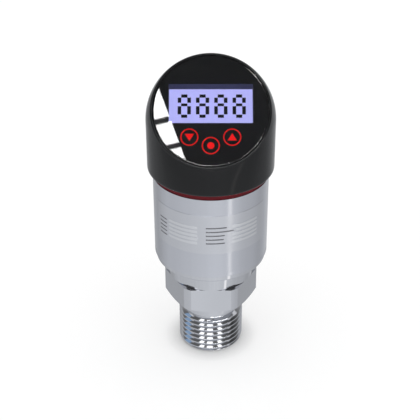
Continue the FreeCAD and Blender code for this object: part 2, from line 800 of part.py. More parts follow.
node(onFace(fuse("BoardScrews", screws)), "board_screws")
springs = []
for number, (x, up) in enumerate(keyPlaces):
    coil = cylinder(f"Coil{number}", s.spring_dia / 2, frameTop - boardTop, x, up, boardTop)
    core = cylinder(f"Core{number}", s.spring_dia / 2 - s.spring_wall,
                    frameTop - boardTop + 2, x, up, boardTop - 1)
    springs.append(cut(f"Spring{number}", coil, core))
node(onFace(fuse("Springs", springs)), "touch_springs")
node(faceBox("Controller", s.chip_side, s.chip_side, s.chip_height,
             0, s.view_rise * 2, boardLow - s.chip_height), "controller_chip")
socketDepth = s.header_depth
node(faceBox("WireSocket", s.header_width, s.header_height, socketDepth,
             0, -s.header_height, boardLow - socketDepth), "wire_socket")


def onPlug(item, y):
    # Turns a piece to look out of the head's back and starts it at the given y.
    return place(item, 0, y, plugZ, xAxis, -90)


# Plug connector: a hexagonal flange on a seal against the boss, a rear thread
# with a nut inside the head, and a threaded collar round the four pins.
plugRadius = s.plug_thread_dia / 2
panelRadius = s.panel_thread_dia / 2
flangeAt = s.boss_depth + s.plug_seal
flangeEnd = flangeAt + s.plug_hex_height
plugEnd = flangeEnd + s.plug_thread_length
insertEnd = plugEnd - s.insert_depth
tailEnd = s.nut_height + s.panel_tail
hexRound = s.plug_hex / 2 * 1.1
plugBlank = turned("PlugBlank", [
    (s.plug_bore / 2, -tailEnd),
    (panelRadius - s.sleeve_edge, -tailEnd),
    (panelRadius, s.sleeve_edge - tailEnd),
    (panelRadius, flangeAt),
    (hexRound - s.sleeve_edge, flangeAt),
    (hexRound, flangeAt + s.sleeve_edge),
    (hexRound, flangeEnd - s.sleeve_edge),
    (hexRound - s.sleeve_edge, flangeEnd),
    (plugRadius - s.flange_edge, flangeEnd),
    (plugRadius, flangeEnd + s.flange_edge),
    *threadRings(plugRadius, s.plug_depth, s.plug_pitch, s.plug_crest,
                 flangeEnd + s.plug_grooves_from, 8),
    (plugRadius, plugEnd - s.flange_edge),
    (plugRadius - s.flange_edge, plugEnd),
    (s.plug_bore / 2, plugEnd),
])
plugStock = cylinder("PlugStock", s.plug_hex, s.plug_hex_height, 0, 0, flangeAt)
plugPrism = doc.addObject("Part::Prism", "PlugPrism")
plugPrism.Polygon = 6
bind(plugPrism, "Circumradius", s.plug_hex / (2 * math.cos(math.radians(30))))
bind(plugPrism, "Height", s.plug_hex_height)
place(plugPrism, 0, 0, flangeAt)
plugShell = cut("PlugShell", plugBlank, cut("PlugWaste", plugStock, plugPrism))
node(onPlug(plugShell, bossIn), "plug_shell")
node(onPlug(ring("PlugSeal", panelRadius + s.easy_fit, hexRound - s.sleeve_edge,
                 s.boss_depth, flangeAt, s.easy_fit), bossIn), "plug_seal")
nutPrism = doc.addObject("Part::Prism", "NutPrism")
nutPrism.Polygon = 6
bind(nutPrism, "Circumradius", s.nut_hex / (2 * math.cos(math.radians(30))))
bind(nutPrism, "Height", s.nut_height)
nutHole = cylinder("NutHole", panelRadius + s.slip_fit, s.nut_height + 2, 0, 0, -1)
node(onPlug(cut("Nut", nutPrism, nutHole), bossIn - s.nut_height), "plug_nut")

# Insert with a coding rib, and the four pins that run through it.
insertDisc = cylinder("InsertDisc", s.plug_bore / 2 - s.slip_fit, insertEnd + tailEnd,
                      0, 0, -tailEnd)
pins = []
pinHoles = []
for number in range(4):
    angle = math.radians(45 + 90 * number)
    x = s.pin_circle / 2 * math.cos(angle)
    y = s.pin_circle / 2 * math.sin(angle)
    pinHoles.append(cylinder(f"PinHole{number}", s.pin_dia / 2 + s.slip_fit,
                             insertEnd + tailEnd + 2, x, y, -tailEnd - 1))
    pins.append(cylinder(f"Pin{number}", s.pin_dia / 2,
                         s.pin_reach + insertEnd + tailEnd + s.pin_tail,
                         x, y, -tailEnd - s.pin_tail))
rib = box("CodingRib", s.pin_dia, s.pin_dia, s.pin_reach + s.pin_dia,
          0, s.plug_bore / 2 - s.pin_dia / 2 - s.slip_fit * 2, insertEnd - s.pin_dia)
insertSolid = fuse("InsertSolid", [insertDisc, rib])
node(onPlug(cut("Insert", insertSolid, fuse("PinHoles", pinHoles)), bossIn), "plug_insert")
node(onPlug(fuse("Pins", pins), bossIn), "plug_pins")

# Wires from the pins' tails to the socket on the display board: each one runs
# straight forward from its pin and then bends down the slope of the board.
tailY = bossIn.value - tailEnd.value - s.pin_tail.value
slope = math.radians(s.face_tilt.value)
socketOut = boardLow.value - socketDepth.value
wireSolids = []
for number in range(4):
    angle = math.radians(45 + 90 * number)
    x = s.pin_circle.value / 2 * math.cos(angle)
    z = plugZ.value - s.pin_circle.value / 2 * math.sin(angle)
    start = FreeCAD.Vector(x, tailY, z)
    across = s.header_width.value / 5 * (number - 1.5)
    up = -s.header_height.value
    end = FreeCAD.Vector(
        across,
        faceY.value - socketOut * math.sin(slope) + up * math.cos(slope),
        faceZ.value + socketOut * math.cos(slope) + up * math.sin(slope))
    run = end - start
    play = run.normalize() * s.wire_dia.value * 0.6
    start = start + play
    run = end - play - start
    wireSolids.append(Part.makeCylinder(s.wire_dia.value / 2, run.Length, start, run))
wires = doc.addObject("Part::Feature", "Wires")
wires.Shape = Part.makeCompound(wireSolids)
node(wires, "plug_wires")

# Every object has to be sound before any piece is written.
doc.recompute()
for item in doc.Objects:
    if "Invalid" in item.State or "Error" in item.State:
        raise RuntimeError(f"{item.Name} failed: {item.State}")
for item in nodes:
    shape = item.Shape
    if shape.isNull() or not shape.isValid() or shape.Volume <= 0:
        raise RuntimeError(f"{item.Label} has no sound shape")
for item in nodes:
    item.Shape.exportStep(f"parts/{item.Label}.step")
    box3 = item.Shape.BoundBox
    print(f"{item.Label}: {len(item.Shape.Solids)} solids, {item.Shape.Volume:.1f} mm3, "
          f"z {box3.ZMin:.2f} to {box3.ZMax:.2f}")
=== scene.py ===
# Pressure transmitter with a turning display head, in the frame of its CAD model.
import math
import bmesh
import bpy
import numpy as np
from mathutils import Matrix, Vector


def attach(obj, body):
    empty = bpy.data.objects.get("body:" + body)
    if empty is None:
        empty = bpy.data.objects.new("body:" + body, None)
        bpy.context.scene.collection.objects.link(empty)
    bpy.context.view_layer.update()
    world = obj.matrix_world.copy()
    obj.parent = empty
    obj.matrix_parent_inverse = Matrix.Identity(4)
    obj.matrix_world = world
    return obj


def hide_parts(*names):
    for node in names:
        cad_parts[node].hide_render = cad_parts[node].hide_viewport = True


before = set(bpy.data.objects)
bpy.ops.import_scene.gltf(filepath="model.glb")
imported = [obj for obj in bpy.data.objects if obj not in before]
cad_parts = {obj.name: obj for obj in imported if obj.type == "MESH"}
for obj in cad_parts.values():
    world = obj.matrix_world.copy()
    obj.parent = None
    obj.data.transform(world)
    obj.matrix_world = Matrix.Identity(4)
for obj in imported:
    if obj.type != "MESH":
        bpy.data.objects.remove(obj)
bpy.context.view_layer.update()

mm = 0.001
print("stage: frame loaded")


def placePiece(name, mesh, material, body, nodes=()):
    # Puts a mesh into the scene as one piece of a body, instead of the nodes.
    mesh.materials.append(material)
    piece = bpy.data.objects.new(name, mesh)
    bpy.context.scene.collection.objects.link(piece)
    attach(piece, body)
    if nodes:
        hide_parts(*nodes)
    return piece


def meshPiece(name, points, faces, body, material, nodes=(), sharp=30, lean=None):
    # Makes one piece from points in millimetres and faces of equal corner count.
    # With lean, doubled points are joined and lean gives the shading normals.
    mesh = bpy.data.meshes.new(name)
    corners = faces.shape[1]
    mesh.vertices.add(len(points))
    mesh.vertices.foreach_set("co", (points * mm).astype(np.float32).ravel())
    mesh.loops.add(faces.size)
    mesh.loops.foreach_set("vertex_index", faces.astype(np.int32).ravel())
    mesh.polygons.add(len(faces))
    mesh.polygons.foreach_set("loop_start", np.arange(len(faces), dtype=np.int32) * corners)
    mesh.update(calc_edges=True)
    mesh.validate()
    mesh.polygons.foreach_set("use_smooth", np.ones(len(mesh.polygons), dtype=bool))
    if lean:
        joined = bmesh.new()
        joined.from_mesh(mesh)
        bmesh.ops.remove_doubles(joined, verts=joined.verts, dist=2e-7)
        joined.to_mesh(mesh)
        joined.free()
    mesh.set_sharp_from_angle(angle=math.radians(sharp))
    piece = placePiece(name, mesh, material, body, nodes)
    if lean:
        places = np.empty(len(mesh.vertices) * 3, dtype=np.float32)
        mesh.vertices.foreach_get("co", places)
        corner = np.empty(len(mesh.loops), dtype=np.int32)
        mesh.loops.foreach_get("vertex_index", corner)
        mesh.normals_split_custom_set(lean(places.reshape(-1, 3) / mm)[corner].tolist())
    else:
        piece.modifiers.new("faceNormals", "WEIGHTED_NORMAL").keep_sharp = True
    return piece


def loopFaces(rows, columns):
    # Quads of a grid that closes on itself both ways.
    row, column = np.meshgrid(np.arange(rows), np.arange(columns), indexing="ij")
    nextRow = (row + 1) % rows
    nextColumn = (column + 1) % columns
    quads = [row * columns + column, row * columns + nextColumn,
             nextRow * columns + nextColumn, nextRow * columns + column]
    return np.stack(quads, axis=-1).reshape(-1, 4)


def wholeTurn(columns):
    return np.linspace(0, 2 * math.pi, columns, endpoint=False)


def roundedPath(corners, steps=5):
    # Each corner is (radius, height, rounding): the rounding is an arc between
    # the two points that lie one rounding away from the corner on either side.
    path = []
    count = len(corners)
    for number, (radius, height, rounding) in enumerate(corners):
        here = np.array([radius, height])
        if rounding <= 0:
            path.append(here[None])
            continue
        before = np.array(corners[number - 1][:2]) - here
        after = np.array(corners[(number + 1) % count][:2]) - here
        start = here + before / np.linalg.norm(before) * rounding
        end = here + after / np.linalg.norm(after) * rounding
        share = np.linspace(0, 1, steps)[:, None]
        path.append((1 - share) ** 2 * start + 2 * share * (1 - share) * here + share ** 2 * end)
    return np.concatenate(path)


def evenRows(path, angles):
    # Rows of (radii, heights) for the points of a path, the same at every angle.
    return [(np.full_like(angles, radius), np.full_like(angles, height))
            for radius, height in path]


def turnedPiece(name, rows, angles, body, material, nodes=(), plug=False, sharp=30,
                faces=None, lean=None):
    # A closed ring surface from rows of (radii, heights) over the angles. On the
    # plug's axis, height runs along +Y and the axis lies at the plug's level.
    radii, heights = np.array(rows).transpose(1, 0, 2)
    across = radii * np.cos(angles)
    other = radii * np.sin(angles)
    if plug:
        points = np.stack([across, heights, plugLevel - other], axis=-1)
    else:
        points = np.stack([across, other, heights], axis=-1)
    if faces is None:
        faces = loopFaces(*radii.shape)
    return meshPiece(name, points.reshape(-1, 3), faces, body, material, nodes, sharp, lean)


def lathePiece(name, corners, material, node, columns):
    angles = wholeTurn(columns)
    rows = evenRows(roundedPath(corners), angles)
    return turnedPiece(name, rows, angles, "base", material, (node,), sharp=40)


def hexAngles(flat, corner, columns):
    # Even angles and, at each of the six corners, the two edges of the turned
    # corner with close neighbours, so that the edges stay crisp.
    near = 0.006
    half = math.acos(flat / corner)
    edges = np.array([math.radians(60 * side) + sign * (math.radians(30) - half) + shift
                      for side in range(6) for sign in (-1, 1) for shift in (-near, 0, near)])
    even = wholeTurn(columns)
    away = np.abs((even[:, None] - edges[None] + math.pi) % (2 * math.pi) - math.pi)
    even = even[away.min(axis=1) > 2 * near]
    return np.sort(np.concatenate([even, edges % (2 * math.pi)]))


def hexRadius(angles, flat, corner):
    # Distance to the flat at each angle, but never past the turned corner.
    turn = angles % math.radians(60) - math.radians(30)
    return np.minimum(flat / np.cos(turn), corner)


# Shares of the pitch that get a row: a close pair at each edge between root, flank
# and crest, one within the lower flank and three within the upper one.
threadMarks = np.array([0.0803, 0.0863, 0.25, 0.4137, 0.4197, 0.5803, 0.5863, 0.66, 0.75,
                        0.84, 0.9137, 0.9197])


def threadPhase(thread, angles, heights):
    # 0 in the middle of a root, 0.5 in the middle of a crest.
    return (heights / thread["pitch"] - angles / (2 * math.pi) + thread["start"]) % 1


def threadRadius(thread, angles, heights):
    # Crest and root are flats of a sixth of the pitch joined by straight flanks,
    # held under a cone at either end.
    away = np.abs(2 * threadPhase(thread, angles, heights) - 1)
    radius = thread["major"] - thread["depth"] * np.clip((away - 1 / 6) * 1.5, 0, 1)
    for level, limit, slope in thread["cones"]:
        radius = np.minimum(radius, limit + (heights - level) * slope)
    return radius


def threadRows(thread, angles):
    # Rows climb one pitch a turn along the edges of crest, flank and root, and
    # stop at the two end levels.
    pitch, low, high = thread["pitch"], thread["low"], thread["high"]
    first = math.floor(low / pitch + thread["start"]) - 2
    turns = math.ceil((high - low) / pitch) + 4
    marks = (first + np.arange(turns)[:, None] + threadMarks).ravel()
    heights = pitch * (marks[:, None] + angles / (2 * math.pi) - thread["start"])
    heights = np.clip(heights, low, high)
    return [(threadRadius(thread, angles, height), height) for height in heights]


def threadFaces(rows, columns, first, last):
    # As loopFaces, but the last column of the thread meets the first one pitch on.
    faces = loopFaces(rows, columns).reshape(rows, columns, 4)
    step = np.arange(first, last)
    for corner, shift in ((1, 0), (2, 1)):
        faces[first:last, -1, corner] = np.minimum(step + shift + len(threadMarks), last) * columns
    return faces.reshape(-1, 4)


def threadNormals(thread, plug, points):
    # Shading normals: straight out on crest and root, leaning down by the flank's
    # true slope on the lower flank, and on the upper one leaning up by an angle
    # that grows towards the root. Off the thread they are 0, which means unset.
    across, other, along = points.T
    if plug:
        other, along = plugLevel - along, other
    radius = np.maximum(np.hypot(across, other), 0.1)
    angles = np.arctan2(other, across) % (2 * math.pi)
    phase = threadPhase(thread, angles, along)
    flank, flankSlope, close = 0.3334, 62.5, 0.01
    lower = (phase - 0.0833) / flank
    upper = (phase - 0.5833) / flank
    rise = np.radians(thread["leanLow"] + (thread["leanHigh"] - thread["leanLow"]) * upper)
    lean = np.where((upper > 0) & (upper < 1), rise, 0)
    lean = np.where((lower > 0) & (lower < 1), -math.radians(flankSlope), lean)
    free = np.abs(radius - threadRadius(dict(thread, cones=()), angles, along)) < close
    free &= (along > thread["low"] + close) & (along < thread["high"] - close)
    out = np.where(free, np.cos(lean), 0) / radius
    up = np.where(free, np.sin(lean), 0)
    if plug:
        return np.stack([out * across, up, -out * other], axis=-1)
    return np.stack([out * across, out * other, up], axis=-1)


def threadedPiece(name, before, thread, after, angles, body, material, node, plug=False):
    # A turned piece with a thread between the rows before and the rows after it.
    rows = before + threadRows(thread, angles) + after
    faces = threadFaces(len(rows), len(angles), len(before), len(rows) - len(after) - 1)
    return turnedPiece(name, rows, angles, body, material, (node,), plug, 28, faces,
                       lambda points: threadNormals(thread, plug, points))


faceCentre = np.array([0, -5.798, 86.698])
faceOut = np.array([0, -math.sqrt(0.5), math.sqrt(0.5)])
faceUp = np.array([0, math.sqrt(0.5), math.sqrt(0.5)])


def facePoints(across, up, out):
    # Points of the slanted face: across to the right, up the slope, out of it.
    across, up, out = np.broadcast_arrays(across, up, out)
    return (faceCentre + across[..., None] * np.array([1, 0, 0])
            + up[..., None] * faceUp + out[..., None] * faceOut)


def faceRing(radius, out, around):
    return facePoints(radius * np.cos(around), radius * np.sin(around), out)


def setSocket(tree, socket, value):
    # A number or a colour goes on the socket itself, and an output is linked to it.
    if isinstance(value, (int, float, tuple)):
        socket.default_value = value
    else:
        tree.links.new(value, socket)


def mathNode(tree, operation, *values, clamp=False):
    node = tree.nodes.new("ShaderNodeMath")
    node.operation = operation
    node.use_clamp = clamp
    for socket, value in zip(node.inputs, values):
        setSocket(tree, socket, value)
    return node.outputs[0]


def vectorNode(tree, operation, first, second=None):
    # SCALE takes a number as its second value, and LENGTH gives one.
    node = tree.nodes.new("ShaderNodeVectorMath")
    node.operation = operation
    setSocket(tree, node.inputs[0], first)
    if second is not None:
        setSocket(tree, node.inputs["Scale" if operation == "SCALE" else 1], second)
    return node.outputs["Value" if operation == "LENGTH" else "Vector"]


def noiseNode(tree, vector, scale, detail=3, roughness=0.55):
    node = tree.nodes.new("ShaderNodeTexNoise")
    for label, value in (("Vector", vector), ("Scale", scale), ("Detail", detail),
                         ("Roughness", roughness)):
        setSocket(tree, node.inputs[label], value)
    return node.outputs[0]


def mixColour(tree, factor, first, second):
    node = tree.nodes.new("ShaderNodeMix")
    node.data_type = "RGBA"
    for number, value in ((0, factor), (6, first), (7, second)):
        setSocket(tree, node.inputs[number], value)
    return node.outputs[2]


def placeOf(tree):
    return tree.nodes.new("ShaderNodeTexCoord").outputs["Object"]


finishSettings = dict(lineStretch=(6, 6, 5200), grainShare=0.45, driftShare=0.55,
                      lineHeight=1.4, coatRoughness=0.1, depth=0.02 * mm)


def makeFinishGroup():
    # Shared finish: a colour that drifts over centimetres and speckles at grain
    # size, a roughness that follows it, and a height for the bump.
    s = finishSettings
    group = bpy.data.node_groups.new("Finish", "ShaderNodeTree")
    for label, kind in (("Light", "Color"), ("Dark", "Color"), ("Grain", "Float"),
                        ("Drift", "Float"), ("Smooth", "Float"), ("Rough", "Float"),
                        ("Lines", "Float")):
        group.interface.new_socket(label, in_out="INPUT", socket_type="NodeSocket" + kind)
    for label, kind in (("Colour", "Color"), ("Roughness", "Float"), ("Height", "Float")):
        group.interface.new_socket(label, in_out="OUTPUT", socket_type="NodeSocket" + kind)
    start = group.nodes.new("NodeGroupInput").outputs
    end = group.nodes.new("NodeGroupOutput").inputs

    def maths(operation, *values, clamp=False):
        return mathNode(group, operation, *values, clamp=clamp)

    place = placeOf(group)
    grain = noiseNode(group, place, start["Grain"], 2, 0.5)
    drift = noiseNode(group, place, start["Drift"], 4, 0.5)
    # Tool lines: noise stretched round the axis, so it varies only with height.
    squeezed = vectorNode(group, "MULTIPLY", place, s["lineStretch"])
    lines = maths("SUBTRACT", noiseNode(group, squeezed, 1, 2), 0.5)
    lined = maths("MULTIPLY", lines, start["Lines"])
    share = maths("ADD", maths("MULTIPLY", grain, s["grainShare"]),
                  maths("MULTIPLY", drift, s["driftShare"]))
    share = maths("ADD", share, lined, clamp=True)
    group.links.new(mixColour(group, share, start["Dark"], start["Light"]), end["Colour"])
    span = maths("SUBTRACT", start["Rough"], start["Smooth"])
    group.links.new(maths("MULTIPLY_ADD", span, share, start["Smooth"]), end["Roughness"])
    group.links.new(maths("MULTIPLY_ADD", lined, s["lineHeight"], grain), end["Height"])
    return group


finishGroup = makeFinishGroup()


def newMaterial(name, values):
    # A material whose plain values go on its shader's own sockets.
    material = bpy.data.materials.new(name)
    material.use_nodes = True
    shader = material.node_tree.nodes["Principled BSDF"]
    for label, value in values.items():
        shader.inputs[label].default_value = value
    return material, material.node_tree, shader.inputs


def surfaceMaterial(name, light, dark, smooth, rough, metallic=0.0, grain=4000, drift=60,
                    lines=0.0, bump=0.1, coat=0.0, specular=0.5):
    material, tree, sockets = newMaterial(name, {
        "Metallic": metallic, "Coat Weight": coat,
        "Coat Roughness": finishSettings["coatRoughness"], "Specular IOR Level": specular})
    finish = tree.nodes.new("ShaderNodeGroup")
    finish.node_tree = finishGroup
    for label, value in (("Light", (*light, 1)), ("Dark", (*dark, 1)), ("Grain", grain),
                         ("Drift", drift), ("Smooth", smooth), ("Rough", rough),
                         ("Lines", lines)):
        finish.inputs[label].default_value = value
    tree.links.new(finish.outputs["Colour"], sockets["Base Color"])
    tree.links.new(finish.outputs["Roughness"], sockets["Roughness"])
    relief = tree.nodes.new("ShaderNodeBump")
    relief.inputs["Strength"].default_value = bump
    relief.inputs["Distance"].default_value = finishSettings["depth"]
    tree.links.new(finish.outputs["Height"], relief.inputs["Height"])
    tree.links.new(relief.outputs[0], sockets["Normal"])
    return material


# One entry per material slot of the record.
slotSettings = {
    "turned_steel": dict(light=(0.6, 0.61, 0.64), dark=(0.53, 0.54, 0.57), smooth=0.06,
                         rough=0.12, metallic=1, grain=2600, lines=0.6, bump=0.03),
    "sleeve_steel": dict(light=(0.59, 0.6, 0.64), dark=(0.53, 0.545, 0.59), smooth=0.14,
                         rough=0.22, metallic=1, grain=3200, lines=0.4, bump=0.04),
    "black_rubber": dict(light=(0.03, 0.03, 0.032), dark=(0.018, 0.018, 0.02), smooth=0.5,
                         rough=0.7, grain=2500, bump=0.3),
    "white_ceramic": dict(light=(0.84, 0.83, 0.8), dark=(0.76, 0.75, 0.72), smooth=0.3,
                          rough=0.45, grain=5000),
    "frame_plastic": dict(light=(0.055, 0.06, 0.13), dark=(0.045, 0.049, 0.105), smooth=0.5,
                          rough=0.62, grain=3500, bump=0.2, specular=0.1),
    "circuit_board": dict(light=(0.05, 0.2, 0.09), dark=(0.02, 0.12, 0.05), smooth=0.3,
                          rough=0.42, grain=1500, drift=300, coat=0.3),
    "chip_plastic": dict(light=(0.03, 0.03, 0.032), dark=(0.016, 0.016, 0.018), smooth=0.45,
                         rough=0.6, grain=6000, bump=0.25),
    "capacitor_can": dict(light=(0.5, 0.36, 0.14), dark=(0.4, 0.27, 0.09), smooth=0.3,
                          rough=0.42, grain=3000),
    "contact_metal": dict(light=(0.85, 0.66, 0.3), dark=(0.72, 0.53, 0.22), smooth=0.18,
                          rough=0.3, metallic=1, grain=4000),
    "collar_brass": dict(light=(0.74, 0.62, 0.36), dark=(0.62, 0.5, 0.27), smooth=0.22,
                         rough=0.34, metallic=1, grain=2800, lines=0.6),
    "seal_red": dict(light=(0.16, 0.009, 0.016), dark=(0.125, 0.006, 0.011), smooth=0.42,
                     rough=0.55, grain=3500, bump=0.12, specular=0.15),
    "spring_steel": dict(light=(0.5, 0.5, 0.5), dark=(0.38, 0.38, 0.39), smooth=0.22,
                         rough=0.35, metallic=1, grain=3500),
    "flex_film": dict(light=(0.5, 0.22, 0.04), dark=(0.4, 0.15, 0.02), smooth=0.25,
                      rough=0.38, grain=2500, drift=200),
    "head_plastic": dict(light=(0.013, 0.0135, 0.0145), dark=(0.009, 0.0095, 0.0105),
                         smooth=0.1, rough=0.16, grain=5200, bump=0.05, specular=0.22),
    "mask_print": dict(light=(0.019, 0.02, 0.0215), dark=(0.014, 0.0148, 0.016), smooth=0.5,
                       rough=0.62, grain=6000, bump=0.05, specular=0.0),
    "light_guide": dict(light=(0.8, 0.8, 0.82), dark=(0.72, 0.72, 0.75), smooth=0.2,
                        rough=0.3, grain=3500),
    "plug_nickel": dict(light=(0.66, 0.63, 0.57), dark=(0.54, 0.51, 0.46), smooth=0.18,
                        rough=0.3, metallic=1, grain=3200, lines=0.3),
    "wire_cover": dict(light=(0.55, 0.07, 0.05), dark=(0.45, 0.05, 0.035), smooth=0.4,
                       rough=0.5, grain=4500),
}
materials = {slot: surfaceMaterial(slot + "Finish", **settings)
             for slot, settings in slotSettings.items()}


def makeGlass():
    glass, tree, sockets = newMaterial("windowGlass", {
        "Transmission Weight": 1, "IOR": 1.5, "Roughness": 0, "Coat Weight": 1,
        "Coat Roughness": 0})
    smear = noiseNode(tree, placeOf(tree), 260, 4)
    tint = mixColour(tree, smear, (0.94, 0.95, 0.97, 1), (0.99, 0.99, 1, 1))
    tree.links.new(tint, sockets["Base Color"])
    return glass


def makeGlow(name, colour, faint, base, scale):
    # A backlit display, or print whose glow is painted light standing in for the lamp's: its glow
    # drifts a little over the surface.
    material, tree, sockets = newMaterial(name, {
        "Base Color": (*base, 1), "Roughness": 0.5, "Specular IOR Level": 0,
        "Emission Strength": 1})
    drift = noiseNode(tree, placeOf(tree), scale, 2)
    tree.links.new(mixColour(tree, drift, (*faint, 1), (*colour, 1)), sockets["Emission Color"])
    return material


materials["clear_window"] = makeGlass()
materials["lcd_face"] = makeGlow("lcdFace", (0.505, 0.512, 1.03), (0.475, 0.482, 0.97),
                                 (0.1, 0.1, 0.2), 120)
# The red key print glows: painted light that stands in for the lamp light the window glass keeps
# from it.
redPrintPaintedGlow = makeGlow("redPrintPaintedGlow", (0.76, 0.011, 0.011), (0.7, 0.009, 0.009),
                    (0.2, 0.004, 0.004), 900)
digitInk = surfaceMaterial("digitInk", (0.006, 0.006, 0.012), (0.003, 0.003, 0.006), 0.5, 0.6,
                           specular=0)
labelFinish = surfaceMaterial("labelFinish", (0.62, 0.63, 0.665), (0.57, 0.58, 0.615), 0.23, 0.27,
                              metallic=1, grain=4500, bump=0.004)
fieldFinish = surfaceMaterial("fieldFinish", (0.7, 0.71, 0.73), (0.67, 0.68, 0.71), 0.26, 0.28,
                              metallic=1, grain=4500, bump=0.004)
labelInk = surfaceMaterial("labelInk", (0.2, 0.2, 0.215), (0.14, 0.14, 0.155), 0.35, 0.45,
                           metallic=0.6)

# The CAD's own materials are named after their slots.
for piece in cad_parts.values():
    for place in piece.material_slots:
        label = place.material.name if place.material else ""
        match = next((slot for slot in materials if label.startswith(slot)), "frame_plastic")
        place.material = materials[match]
print("stage: materials made")

processSettings = dict(
    bore=3.0, mouth=0.3, endRadius=9.55, reliefRadius=9.2, runOut=13.5, reliefTop=16.2,
    shoulder=11.5, hexLow=19.0, hexHigh=27.5, flat=13.5, corner=14.9, chamfer=0.8, topFall=0.06,
    ledge=0.1, neck=13.75, groove=0.07, grooveHigh=0.3, grooveMiddle=0.6, grooveLow=0.9,
    flangeLow=33.6, flange=17.4, flangeEdge=0.4, flangeTop=35.6, spigot=16.45, spigotEdge=0.2,
    top=38.6, cavity=9.6, cavityLow=24.4, seatLow=22.9, seatIn=6.0, seatOut=8.4, thin=0.01,
    columns=192,
    thread=dict(major=10.4775, depth=1.162, pitch=1.814, start=0.342, low=0.05, high=13.5,
                cones=((0, 9.5775, 1), (12.6, 10.4775, -1.4194)), leanLow=35, leanHigh=51))


def makeProcess():
    p = processSettings
    flat, corner, thin = p["flat"], p["corner"], p["thin"]
    neck, flange, flangeLow, flangeTop = p["neck"], p["flange"], p["flangeLow"], p["flangeTop"]
    angles = hexAngles(flat, corner, p["columns"])
    before = roundedPath([
        (p["cavity"], p["cavityLow"], 0), (p["seatOut"], p["cavityLow"], 0),
        (p["seatOut"], p["seatLow"], 0), (p["seatIn"], p["seatLow"], 0),
        (p["seatIn"], p["cavityLow"], 0), (p["bore"], p["cavityLow"], 0),
        (p["bore"], p["mouth"], 0), (p["bore"] + p["mouth"], 0, 0), (p["endRadius"], 0, 0)])
    relief = roundedPath([
        (p["reliefRadius"], p["runOut"] + thin, 0), (p["reliefRadius"], p["reliefTop"], 0),
        (p["shoulder"], p["reliefTop"], 0), (p["shoulder"], p["hexLow"], 0),
        (flat - 2 * thin, p["hexLow"], 0)])
    # Hexagon: a cone below and a flatter one above meet the flats and the turned
    # corners along curves, so those rows have one height per angle.
    reach = hexRadius(angles, flat, corner)
    past = (reach - flat) / (corner - flat)
    low = p["hexLow"] + np.maximum(thin, past * p["chamfer"])
    high = p["hexHigh"] - thin - np.maximum(0, past * p["topFall"])
    upper = roundedPath([
        (flat - 2 * thin, p["hexHigh"] + thin, 0), (neck, p["hexHigh"] + p["ledge"], 0),
        (neck, flangeLow - p["grooveLow"], 0),
        (neck - p["groove"], flangeLow - p["grooveMiddle"], 0),
        (neck, flangeLow - p["grooveHigh"], 0), (neck, flangeLow, 0),
        (flange - p["flangeEdge"], flangeLow, 0), (flange, flangeLow + p["flangeEdge"], 0),
        (flange, flangeTop, 0), (p["spigot"], flangeTop, 0),
        (p["spigot"], p["top"], p["spigotEdge"]), (p["cavity"], p["top"], 0)])
    after = evenRows(relief, angles) + [(reach, low), (reach, high)] + evenRows(upper, angles)
    threadedPiece("processConnection", evenRows(before, angles), p["thread"], after, angles,
                  "base", materials["turned_steel"], "process_connection")


makeProcess()
print("stage: process connection made")

sleeveSettings = dict(outer=17.9, inner=16.5, low=35.6, high=63.2, edge=0.05, groove=0.09,
                      grooveLow=0.9, grooveMiddle=1.25, grooveHigh=1.6, columns=240)
sealSettings = dict(outer=17.7, inner=15.9, low=63.2, high=65.05, edge=0.25, columns=160)


def makeSleeve():
    s = sleeveSettings
    low, high, outer, inner = s["low"], s["high"], s["outer"], s["inner"]
    lathePiece("caseSleeve", [
        (inner, low, 0), (outer - s["edge"], low, 0), (outer, low + s["edge"], 0),
        (outer, low + s["grooveLow"], 0), (outer - s["groove"], low + s["grooveMiddle"], 0),
        (outer, low + s["grooveHigh"], 0), (outer, high, 0), (inner, high, 0)],
        materials["sleeve_steel"], "case_sleeve", s["columns"])
    s = sealSettings
    lathePiece("sealRing", [
        (s["inner"], s["low"], 0), (s["outer"], s["low"], s["edge"]),
        (s["outer"], s["high"], s["edge"]), (s["inner"], s["high"], 0)],
        materials["seal_red"], "seal_ring", s["columns"])


makeSleeve()

plugLevel = 74.2
headSettings = dict(radius=19.5, inner=17.4, low=65.2, floor=67.7, centre=80.9, foot=0.8,
                    hole=11.55, leanStart=66.7, shoulder=17.915, shoulderOut=-0.5,
                    rim=0.6, pull=0.12, land=17.15, landEdge=0.1, ledge=16.1, ledgeTop=-3.3,
                    ledgeLow=-4.8, roof=17.06, columns=240, wallSteps=40, rimSteps=8,
                    lipSteps=4, roofSteps=16)


def wallRows(radius, centre, start, target, rows):
    # Columns from a circle at height start up to the target points. Behind, a
    # column rises straight and then follows the ball by arc length. In front,
    # its radius falls with the square of the way from start to target.
    reach = np.hypot(target[:, 0], target[:, 1])
    turn = np.arctan2(target[:, 1], target[:, 0])
    top = target[:, 2]
    share = np.linspace(0, 1, rows)[:, None]
    climb = np.arcsin(np.clip((top - centre) / radius, 0, 1))
    along = share * ((centre - start) + radius * climb)
    arc = np.clip((along - (centre - start)) / radius, 0, None)
    backHeight = np.where(arc > 0, centre + radius * np.sin(arc), start + along)
    frontHeight = start + share * (top - start)
    frontRadius = radius - (radius - reach) * share ** 2
    front = top < centre
    height = np.where(front, frontHeight, backHeight)
    width = np.where(front, frontRadius, radius * np.cos(arc))
    return np.stack([width * np.cos(turn), width * np.sin(turn), height], axis=-1)


